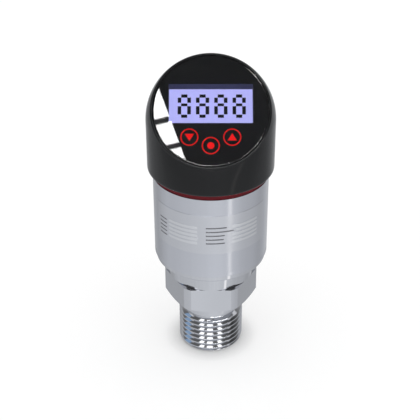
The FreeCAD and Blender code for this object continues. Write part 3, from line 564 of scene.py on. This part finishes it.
def makeHead():
    h = headSettings
    around = wholeTurn(h["columns"])
    shoulder = faceRing(h["shoulder"], h["shoulderOut"], around)
    turn = np.arctan2(shoulder[:, 1], shoulder[:, 0])
    # From the hole in the floor over the foot and up the outside.
    foot = roundedPath([(h["hole"], h["low"], 0), (h["radius"], h["low"], h["foot"]),
                        (h["radius"], h["centre"], 0)])[:-1]
    rows = [np.stack([radius * np.cos(turn), radius * np.sin(turn),
                      np.full_like(turn, level)], axis=-1)
            for radius, level in ((h["hole"], h["floor"]), *foot)]
    rows += list(wallRows(h["radius"], h["centre"], h["leanStart"], shoulder, h["wallSteps"]))
    # Rounding from the wall to the face, one quadratic arc per column.
    rim = h["shoulder"] - h["rim"]
    share = np.linspace(0, 1, h["rimSteps"])[1:, None]
    corner = np.array([h["shoulder"] - h["pull"], 0])
    first = np.array([h["shoulder"], h["shoulderOut"]])
    arc = (1 - share) ** 2 * first + 2 * share * (1 - share) * corner
    arc = arc + share ** 2 * np.array([rim, 0])
    lip = roundedPath([(rim, 0, 0), (h["land"], 0, h["landEdge"]), (h["land"], h["ledgeTop"], 0),
                       (h["ledge"], h["ledgeTop"], 0), (h["ledge"], h["ledgeLow"], 0)],
                      h["lipSteps"])
    rows += [faceRing(radius, out, around) for radius, out in (*arc, *lip[1:])]
    roof = faceRing(h["roof"], h["ledgeLow"], around)
    rows += list(wallRows(h["inner"], h["centre"], h["floor"], roof, h["roofSteps"])[::-1])
    points = np.stack(rows)
    meshPiece("headShell", points.reshape(-1, 3), loopFaces(*points.shape[:2]), "head",
              materials["head_plastic"], ("head_shell",), 35)


makeHead()

bossSettings = dict(radius=7.9, start=15.6, turnOut=19, end=20.4, bore=5.4, fillet=0.45,
                    sunk=0.4, edge=0.35, boreEdge=0.1, columns=120, filletSteps=7)


def makeBoss():
    # The fillet is a quarter round that runs out into the wall, whose distance
    # is the root of its radius squared less x squared, and less the ball's rise.
    b = bossSettings
    angles = wholeTurn(b["columns"])
    bore, outer, fillet = b["bore"], b["radius"], b["fillet"]

    def wallRow(radius, out):
        level = plugLevel - radius * np.sin(angles)
        rise = np.maximum(0, level - headSettings["centre"])
        wall = np.sqrt(headSettings["radius"] ** 2 - (radius * np.cos(angles)) ** 2 - rise ** 2)
        return np.full_like(angles, radius), wall + out

    rows = evenRows([(bore, b["start"]), (outer, b["start"])], angles)
    rows.append(wallRow(outer + fillet, -b["sunk"]))
    rows += [wallRow(outer + fillet * (1 - math.sin(turn)), fillet * (1 - math.cos(turn)))
             for turn in np.linspace(0, math.pi / 2, b["filletSteps"])]
    end = roundedPath([(outer, b["turnOut"], 0), (outer, b["end"], b["edge"]),
                       (bore, b["end"], b["boreEdge"]), (bore, b["start"], 0)])[1:-1]
    turnedPiece("plugBoss", rows + evenRows(end, angles), angles, "head",
                materials["head_plastic"], plug=True)


makeBoss()
print("stage: head made")

plugSettings = dict(bore=4.9, mouth=0.15, panel=5.25, tail=13.2, flangeLow=21.4, flangeHigh=23.4,
                    flat=7.0, corner=7.7, cone=30, coneIn=0.3, coneOut=0.1, thin=0.02,
                    edgeIn=0.06, edgeDrop=0.03, root=5.4, neck=0.9, end=33.4, columns=144,
                    thread=dict(major=6.0, depth=0.5, pitch=1.0, start=0.0, low=24.4, high=33.3,
                                cones=((24.4, 5.4, 1), (33.3, 5.5, -1)), leanLow=40, leanHigh=58))


def makePlug():
    # The hexagon's two cones meet its flats and corners along curves, and a thin
    # row on either side of each edge keeps it crisp.
    p = plugSettings
    angles = hexAngles(p["flat"], p["corner"], p["columns"])
    before = evenRows([(p["bore"], p["end"]), (p["bore"], p["tail"]), (p["panel"], p["tail"]),
                       (p["panel"], p["flangeLow"])], angles)
    reach = hexRadius(angles, p["flat"], p["corner"])
    rise = math.tan(math.radians(p["cone"]))
    for level, side in ((p["flangeLow"], 1), (p["flangeHigh"], -1)):
        edge = level + side * np.maximum(p["thin"], (reach - p["flat"] + p["coneOut"]) * rise)
        cone = evenRows([(p["flat"] - p["coneIn"], level)], angles)
        cone += [(reach - p["edgeIn"], edge - side * p["edgeDrop"]),
                 (reach, edge + side * p["edgeIn"])]
        before += cone[::side]
    before += evenRows([(p["root"], p["flangeHigh"]), (p["root"], p["flangeHigh"] + p["neck"])],
                       angles)
    after = evenRows([(p["root"], p["end"]), (p["bore"] + p["mouth"], p["end"])], angles)
    threadedPiece("plugShell", before, p["thread"], after, angles, "head",
                  materials["plug_nickel"], "plug_shell", True)


makePlug()
print("stage: plug made")

windowSettings = dict(radius=17.05, low=-1.3, high=-0.05, edge=0.42, flatEnd=1.5, half=0.6,
                      middle=0.5, flatLimit=0.9999, columns=192)


def makeWindow():
    # A solid disc in the face's own frame: rings from its middle below, round the
    # edge, to its middle above, with one fan of triangles at each end.
    w = windowSettings
    columns, radius, edge = w["columns"], w["radius"], w["edge"]
    around = wholeTurn(columns)
    side = [(w["middle"], 0), (radius * w["half"], 0), (radius - edge * w["flatEnd"], 0),
            (radius, edge)]
    path = roundedPath([(reach, w["low"], rounding) for reach, rounding in side]
                       + [(reach, w["high"], rounding) for reach, rounding in side[::-1]])
    points = np.concatenate([faceRing(reach, out, around) for reach, out in path]
                            + [facePoints(np.zeros(1), 0, out) for out in (w["low"], w["high"])])
    last = (len(path) - 1) * columns
    middle = last + columns
    step = np.arange(columns)
    after = (step + 1) % columns
    fans = np.concatenate([
        np.stack([np.full(columns, middle), after, step], axis=-1),
        np.stack([np.full(columns, middle + 1), last + step, last + after], axis=-1)])
    mesh = bpy.data.meshes.new("windowPane")
    mesh.from_pydata((points * mm).tolist(), [],
                     loopFaces(len(path), columns)[:last].tolist() + fans.tolist())
    mesh.update()
    # Only the rounded edge is shaded smooth, so that the flats mirror straight lines.
    normals = np.empty(len(mesh.polygons) * 3)
    mesh.polygons.foreach_get("normal", normals)
    facing = np.abs(normals.reshape(-1, 3) @ faceOut)
    mesh.polygons.foreach_set("use_smooth", facing < w["flatLimit"])
    placePiece("windowPane", mesh, materials["clear_window"], "head", ("face_window",))


makeWindow()


def flatPiece(name, outlines, level, thick, material):
    # Closed plates of equal thickness from outlines in the face's own plane, each
    # drawn anticlockwise.
    points = []
    faces = []
    for outline in outlines:
        across, up = np.array(outline, dtype=float).T
        count = len(across)
        base = len(points)
        top = base + count
        for out in (level, level + thick):
            points += facePoints(across, up, out).tolist()
        faces += [list(range(top, top + count)), list(range(base, top))[::-1]]
        faces += [[base + k, base + (k + 1) % count, top + (k + 1) % count, top + k]
                  for k in range(count)]
    mesh = bpy.data.meshes.new(name)
    mesh.from_pydata((np.array(points) * mm).tolist(), [], faces)
    mesh.update()
    placePiece(name, mesh, material, "head")


digitSettings = dict(count=4, left=-9.72, pitch=5.43, low=-0.41, width=3.7, height=7.06,
                     level=-5.9, thick=0.03, swell=0.11, gap=0.01)
# The seven bars of one figure as shares of its width and height, from its lower
# left corner: (left, low, right, high).
figureBars = ((0.25, 0.89, 0.75, 1), (0.25, 0, 0.74, 0.107), (0.24, 0.51, 0.75, 0.6),
              (0, 0.645, 0.225, 0.875), (0.77, 0.645, 1, 0.875), (0, 0.135, 0.225, 0.495),
              (0.77, 0.135, 1, 0.495))


def makeDigits():
    # Four equal figures of seven straight bars, wider across than their shares by
    # the swell and shorter by the gap, so that they stay clear at the corners.
    d = digitSettings
    bars = []
    for number in range(d["count"]):
        x = d["left"] + number * d["pitch"]
        for left, low, right, high in figureBars:
            lying = right - left > high - low
            sideways, upwards = (-d["gap"], d["swell"]) if lying else (d["swell"], -d["gap"])
            x0, x1 = x + left * d["width"] - sideways, x + right * d["width"] + sideways
            y0 = d["low"] + low * d["height"] - upwards
            y1 = d["low"] + high * d["height"] + upwards
            bars.append([(x0, y0), (x1, y0), (x1, y1), (x0, y1)])
    flatPiece("displayDigits", bars, d["level"], d["thick"], digitInk)


makeDigits()

keySettings = dict(spread=6.22, drop=-7.95, middleDrop=-10.5, radius=2.6, line=0.3, bars=40,
                   dot=1.03, half=1.35, foot=1.0, tip=1.15, level=-1.245, thick=0.02)


def makeKeys():
    # Printed key signs that glow with painted light: a ring of short bars round each key,
    # a dot on the middle one and a small triangle on each of the others, down left and up right.
    k = keySettings
    turn = np.linspace(0, 2 * math.pi, k["bars"] + 1)
    outer, inner = k["radius"], k["radius"] - k["line"]
    rings = [[(x + reach * math.cos(angle), y + reach * math.sin(angle))
              for reach, angle in ((inner, a), (outer, a), (outer, b), (inner, b))]
             for x, y in ((-k["spread"], k["drop"]), (k["spread"], k["drop"]),
                          (0, k["middleDrop"]))
             for a, b in zip(turn[:-1], turn[1:])]
    flatPiece("keyRings", rings, k["level"], k["thick"], redPrintPaintedGlow)
    reds = [[(k["dot"] * math.cos(a), k["middleDrop"] + k["dot"] * math.sin(a))
             for a in turn[:-1]]]
    for x, way in ((-k["spread"], -1), (k["spread"], 1)):
        left, right = ((x + side * k["half"], k["drop"] - way * k["foot"]) for side in (-1, 1))
        tip = (x, k["drop"] + way * k["tip"])
        reds.append([left, right, tip] if way > 0 else [left, tip, right])
    flatPiece("keySigns", reds, k["level"], k["thick"], redPrintPaintedGlow)


makeKeys()
print("stage: print made")

labelSettings = dict(radius=17.9, low=44.28, high=57.71, half=63, thick=0.05, sunk=0.02)
# Lines of print one pitch apart, down from the first level. For each there are two
# fields, a bar and a mark, all (first angle, last angle, below, above the level).
# The bar ends barShort degrees before the line's length, and beside a long line the
# right field starts at longStart.
lineSettings = dict(first=53.5, pitch=1.36, lengths=(17, 24, 15, 14, 15), long=20,
                    left=(-45, -13, 0.55, 0.35), right=(21, 51, 0.45, 0.45), longStart=25,
                    barStart=-4.7, barShort=1.5, barHalf=0.2, mark=(-58.5, -48, 0.65, -0.3))


def curvedPlates(name, patches, radius, thick, material):
    # Thin closed plates on the case: each patch is (first angle, last angle, low,
    # high) with angles from the front, and each plate is a tube of four-cornered
    # rings at whole degrees, with a cap at each end.
    points = []
    quads = []
    for first, last, low, high in patches:
        turn = np.radians(np.unique(np.concatenate([
            [first, last], np.arange(math.ceil(first), math.floor(last) + 1)])) - 90)
        base = len(points)
        corners = ((radius, low), (radius + thick, low), (radius + thick, high), (radius, high))
        points += np.stack([np.stack([r * np.cos(turn), r * np.sin(turn), np.full_like(turn, z)],
                                     axis=-1) for r, z in corners], axis=1).reshape(-1, 3).tolist()
        step = np.arange(len(turn) - 1) * 4 + base
        quads += [np.stack([step + side, step + (side + 1) % 4, step + 4 + (side + 1) % 4,
                            step + 4 + side], axis=-1) for side in range(4)]
        end = base + (len(turn) - 1) * 4
        quads.append(np.array([[base + 3, base + 2, base + 1, base],
                               [end, end + 1, end + 2, end + 3]]))
    meshPiece(name, np.array(points), np.concatenate(quads)[:, ::-1], "base", material)


def makeLabel():
    # The plate, a pale value field on each side of every line, and a bar and a
    # mark for its print, left without words. These stand on the plate, a little
    # sunk into it.
    s = labelSettings
    curvedPlates("ratingPlate", [(-s["half"], s["half"], s["low"], s["high"])], s["radius"],
                 s["thick"], labelFinish)
    t = lineSettings
    fields = []
    lines = []

    def patch(first, last, below, above):
        return first, last, level - below, level + above

    for number, length in enumerate(t["lengths"]):
        level = t["first"] - number * t["pitch"]
        start = t["right"][0] if length < t["long"] else t["longStart"]
        fields += [patch(*t["left"]), patch(start, *t["right"][1:])]
        lines += [patch(t["barStart"], length - t["barShort"], t["barHalf"], t["barHalf"]),
                  patch(*t["mark"])]
    outside = s["radius"] + s["thick"] - s["sunk"]
    curvedPlates("plateFields", fields, outside, s["thick"], fieldFinish)
    curvedPlates("plateLines", lines, outside, s["thick"], labelInk)


makeLabel()

# The floor fades past fadeStart metres, by fadeRate per metre. Near by it keeps the
# share shading of its light and shade, and far away farShading of it.
floorSettings = dict(size=3.0, roughness=0.9, light=0.94, dark=0.92, grain=900, fadeStart=0.45,
                     fadeRate=1.2, shading=0.53, farShading=0.0, glow=0.545, farGlow=1.0,
                     contactShadowReach=0.007, contactShadowPower=1.2)


def makeFloor():
    # Seen directly, the sheet keeps half of its shading and glows with the rest,
    # and far away it only glows, so that it runs out to white without a horizon.
    # Close under an edge its glow is cut by a painted contact shadow from an occlusion node.
    s = floorSettings
    size = s["size"]
    mesh = bpy.data.meshes.new("floorSheet")
    mesh.from_pydata([(-size, -size, 0), (size, -size, 0), (size, size, 0), (-size, size, 0)],
                     [], [(0, 1, 2, 3)])
    floor = bpy.data.objects.new("floorSheet", mesh)
    bpy.context.scene.collection.objects.link(floor)
    paper, tree, sockets = newMaterial("floorPaper", {
        "Roughness": s["roughness"], "Specular IOR Level": 0, "Emission Color": (1, 1, 1, 1)})

    def maths(operation, *values, clamp=False):
        return mathNode(tree, operation, *values, clamp=clamp)

    direct = tree.nodes.new("ShaderNodeLightPath").outputs["Is Camera Ray"]
    place = placeOf(tree)
    away = maths("SUBTRACT", vectorNode(tree, "LENGTH", place), s["fadeStart"])
    far = maths("MULTIPLY", away, s["fadeRate"], clamp=True)
    # Painted contact shadow: ambient occlusion darkens the floor's glow close under the object's
    # edges.
    paintedContactShadow = tree.nodes.new("ShaderNodeAmbientOcclusion")
    paintedContactShadow.inputs["Distance"].default_value = s["contactShadowReach"]
    clear = maths("POWER", paintedContactShadow.outputs["AO"], s["contactShadowPower"])
    glow = maths("MULTIPLY_ADD", far, s["farGlow"] - s["glow"], s["glow"])
    hidden = maths("MULTIPLY_ADD", far, s["shading"] - s["farShading"], 1 - s["shading"])
    kept = maths("SUBTRACT", 1.0, maths("MULTIPLY", direct, hidden))
    pale = mixColour(tree, noiseNode(tree, place, s["grain"]), (*[s["dark"]] * 3, 1),
                     (*[s["light"]] * 3, 1))
    tree.links.new(vectorNode(tree, "SCALE", pale, kept), sockets["Base Color"])
    tree.links.new(maths("MULTIPLY", maths("MULTIPLY", direct, glow), clear),
                   sockets["Emission Strength"])
    mesh.materials.append(paper)
    floor.visible_glossy = False


makeFloor()


def addView(name, data, place, target):
    # Puts a lamp or the camera at a place and turns it to its target.
    item = bpy.data.objects.new(name, data)
    item.location = place
    aim = Vector(target) - Vector(place)
    item.rotation_euler = aim.to_track_quat("-Z", "Y").to_euler()
    bpy.context.scene.collection.objects.link(item)
    return item


lampSettings = dict(height=1.4, size=2.4, power=17)


def makeLamp():
    # A soft lamp that lights but isn't mirrored: the world draws the reflections.
    s = lampSettings
    data = bpy.data.lights.new("domeLamp", "AREA")
    data.size = s["size"]
    data.energy = s["power"]
    lamp = addView("domeLamp", data, (0, 0, s["height"]), (0, 0, 0))
    lamp.visible_glossy = False
    lamp.visible_transmission = False


makeLamp()

# Levels round the horizon are (degrees from the front, level). A patch is (first
# and last degree, softness in radians, lowest and highest z, softness in z), and a
# light is a patch and its strength. The panel lies over slopes, which are x and y
# over height: its slanted edge and its bars are lines across them.
studioSettings = dict(
    horizon=0.14, horizonSoft=0.08, ceiling=0.8, ceilingSoft=0.06, ceilingGrey=0.07,
    table=((-180, 0.66), (-150, 0.5), (-128, 0.5), (-100, 0.69), (-75, 0.73), (-45, 0.78),
           (-9, 0.86), (12, 0.95), (24, 0.88), (34, 0.87), (42.5, 0.84), (50, 0.78), (70, 0.67),
           (96, 0.61), (117, 0.5), (135, 0.6), (180, 0.66)),
    tableTint=(0.97, 0.99, 1.02), streaks=0.42, streaksLeast=0.79, streaksScale=7,
    strip=(35, 40.5, 0.03), stripLow=-0.606, stripSoft=0.012, stripColour=(0.62, 0.58, 0.54, 1),
    walls=((-180, 0.6), (-140, 0.5), (-110, 0.22), (-60, 0.15), (-30, 0.17), (-18, 0.24),
           (20, 0.16), (60, 0.13), (80, 0.055), (95, 0.1), (117, 0.25), (140, 0.5), (180, 0.6)),
    blue=(-100, -79, 0.05, 0.0, 0.56, 0.04), blueColour=(0.36, 0.52, 0.74, 1),
    sides=(72, 0.06, 0.59, 0.69, 0.02), sidesColour=(0.9, 0.9, 0.92, 1),
    lights=((-43, -27, 0.03, 0.43, 0.75, 0.01, 2.0), (-15, 6.5, 0.03, 0.43, 0.75, 0.01, 2.0),
            (26, 40, 0.03, 0.43, 0.75, 0.01, 2.0),
            (-34.3775, 54.431, 0.15, 0.26, 0.37, 0.02, 15.0),
            (45.8366, 83.0789, 0.1, 0.9, 0.95, 0.02, 12.0)),
    panelLight=14.0, panelBack=(-0.62, -0.42, 0.004), panelLeft=(-0.14, 0.01),
    panelLow=(0.5, 0.05), panelLean=0.315, panelEdge=-0.2028245, panelEdgeSoft=0.0012,
    barLean=-0.27, bars=((-0.4928, -0.4854), (-0.5275, -0.5205)), barSoft=0.0024, barDark=0.985,
    cameraLeast=0.55)


def rampNode(tree, turn, levels, tint=(1, 1, 1)):
    # Levels round the horizon, read at a share of the whole turn.
    node = tree.nodes.new("ShaderNodeValToRGB")
    stops = node.color_ramp.elements
    while len(stops) < len(levels):
        stops.new(0.5)
    for stop, (degrees, level) in zip(stops, levels):
        stop.position = degrees / 360 + 0.5
        stop.color = (*(level * part for part in tint), 1)
    tree.links.new(turn, node.inputs[0])
    return node.outputs[0]


def makeWorld():
    # Seen directly the world is white. In mirrors it is a studio: below the
    # horizon a bright table with streaks and one warm strip, whose light changes
    # round the object. Above it is a dark room with a blue stretch to the left, a
    # pale band at either side, three windows, a box in front, a box at the side,
    # and overhead a slanted panel with two dark bars.
    s = studioSettings
    world = bpy.data.worlds.new("studio")
    bpy.context.scene.world = world
    world.use_nodes = True
    tree = world.node_tree
    background = tree.nodes["Background"]
    path = tree.nodes.new("ShaderNodeLightPath").outputs
    split = tree.nodes.new("ShaderNodeSeparateXYZ")
    tree.links.new(tree.nodes.new("ShaderNodeTexCoord").outputs["Generated"], split.inputs[0])
    x, y, z = split.outputs

    def maths(operation, *values, clamp=False):
        return mathNode(tree, operation, *values, clamp=clamp)

    def step(value, at, soft):
        # Rises from 0 to 1 as value passes at, over the width soft.
        return maths("MULTIPLY", maths("SUBTRACT", value, at), 1 / soft, clamp=True)

    def between(value, low, high, soft):
        return maths("SUBTRACT", step(value, low, soft), step(value, high, soft), clamp=True)

    def both(first, second):
        return maths("MULTIPLY", first, second)

    def without(share):
        return maths("SUBTRACT", 1.0, share)

    def heading(first, last, soft):
        return between(around, math.radians(first), math.radians(last), soft)

    def patch(first, last, softTurn, low, high, soft):
        return both(heading(first, last, softTurn), between(z, low, high, soft))

    around = maths("ARCTAN2", x, maths("MULTIPLY", y, -1.0))
    turn = maths("MULTIPLY_ADD", around, 0.5 / math.pi, 0.5)
    height = maths("ABSOLUTE", z)
    slopeX, slopeY = maths("DIVIDE", x, height), maths("DIVIDE", y, height)
    room = step(z, s["horizon"], s["horizonSoft"])
    table = without(room)

    edge = maths("ADD", maths("MULTIPLY", slopeY, s["panelLean"]), slopeX)
    panel = both(without(step(edge, s["panelEdge"], s["panelEdgeSoft"])),
                 both(between(slopeY, *s["panelBack"]), step(slopeX, *s["panelLeft"])))
    across = maths("ADD", maths("MULTIPLY", slopeX, s["barLean"]), slopeY)
    for low, high in s["bars"]:
        bar = both(s["barDark"], between(across, low, high, s["barSoft"]))
        panel = both(panel, without(bar))
    upper = both(both(panel, step(z, *s["panelLow"])), s["panelLight"])
    for *place, strength in s["lights"]:
        upper = maths("ADD", upper, both(patch(*place), strength))

    band = without(step(z, s["ceiling"], s["ceilingSoft"]))
    wall = mixColour(tree, band, (*[s["ceilingGrey"]] * 3, 1), rampNode(tree, turn, s["walls"]))
    wall = mixColour(tree, patch(*s["blue"]), wall, s["blueColour"])
    first, softTurn, low, high, soft = s["sides"]
    sides = both(step(maths("ABSOLUTE", around), math.radians(first), softTurn),
                 between(z, low, high, soft))
    wall = mixColour(tree, sides, wall, s["sidesColour"])
    above = vectorNode(tree, "SCALE", vectorNode(tree, "ADD", wall, upper), room)

    streaks = maths("MULTIPLY_ADD", noiseNode(tree, around, s["streaksScale"], 3, 0.7),
                    s["streaks"], s["streaksLeast"])
    below = vectorNode(tree, "SCALE", rampNode(tree, turn, s["table"], s["tableTint"]),
                       both(table, streaks))
    # The warm strip is low enough for the case and its neck only.
    strip = both(heading(*s["strip"]), both(table, step(z, s["stripLow"], s["stripSoft"])))
    below = vectorNode(tree, "ADD", below,
                       mixColour(tree, strip, (0, 0, 0, 1), s["stripColour"]))
    studio = vectorNode(tree, "ADD", below, above)

    mirrored = maths("ADD", path["Is Glossy Ray"], path["Is Transmission Ray"], clamp=True)
    plain = maths("MULTIPLY_ADD", path["Is Camera Ray"], 1 - s["cameraLeast"], s["cameraLeast"])
    tree.links.new(mixColour(tree, mirrored, plain, studio), background.inputs["Color"])
    background.inputs["Strength"].default_value = 1


makeWorld()

cameraSettings = dict(sensor=36, lens=86.66, shift=-0.0019, place=(0, -0.27106, 0.21652),
                      target=(0, 0, 0.048977), nearest=0.01)


def makeCamera():
    s = cameraSettings
    data = bpy.data.cameras.new("camera")
    data.sensor_width = s["sensor"]
    data.lens = s["lens"]
    data.shift_x = s["shift"]
    data.clip_start = s["nearest"]
    bpy.context.scene.camera = addView("camera", data, s["place"], s["target"])


makeCamera()
bpy.context.scene.view_settings.view_transform = "Standard"
print("stage: lamps and camera made")
